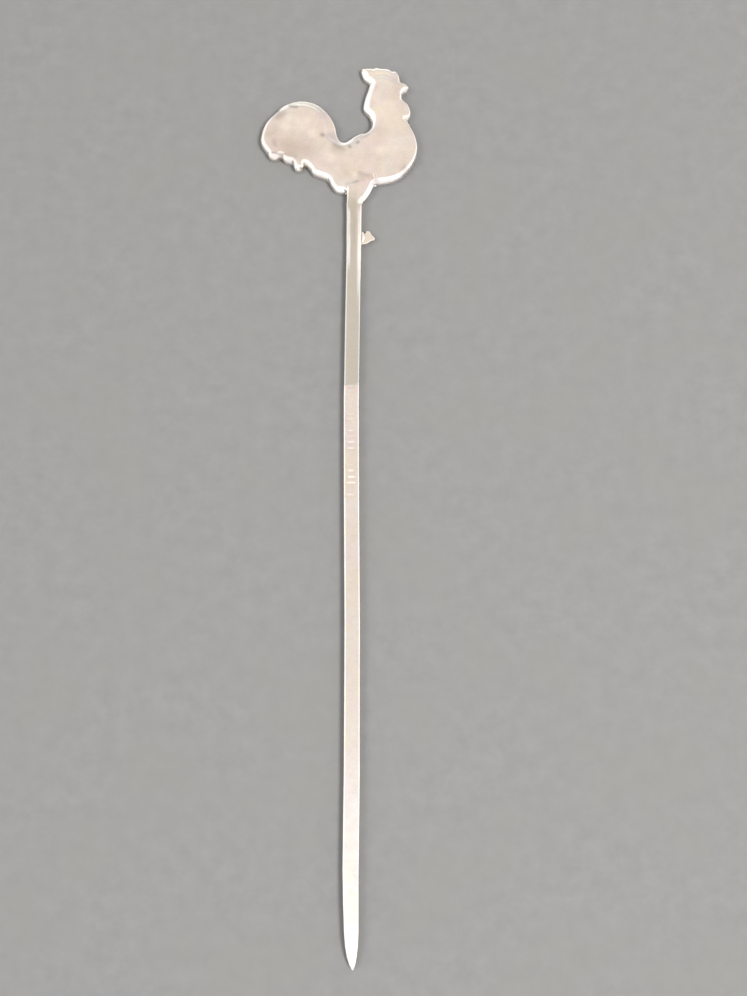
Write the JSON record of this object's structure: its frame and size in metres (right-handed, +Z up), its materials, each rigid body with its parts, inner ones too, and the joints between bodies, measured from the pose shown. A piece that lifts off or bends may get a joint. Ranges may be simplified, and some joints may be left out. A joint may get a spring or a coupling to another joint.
{
  "type": "hat pin",
  "caption": "Flat silver hat pin: a cockerel silhouette soldered to a long flat pointed stem, with a small toe on the stem's side.",
  "frame": {"origin": "on the stem's flat underside, where the stem leaves the head, on the pin's centre line", "axes": "+Y along the stem from the point towards the cockerel's head, +X across the pin towards the cockerel's beak, +Z up out of the pin's back; the pin lies face down on z = 0"},
  "size_m": [0.0162, 0.0894, 0.0011],
  "materials": {
    "head_silver": "satin",
    "stem_silver": "satin",
    "toe_silver": "satin",
    "silver_solder": "matte"
  },
  "bodies": {
    "root": {"rooster_plate": "head_silver", "pin_stem": "stem_silver", "tang_solder": "silver_solder", "toe_spur": "toe_silver", "spur_solder": "silver_solder"}
  },
  "joints": []
}
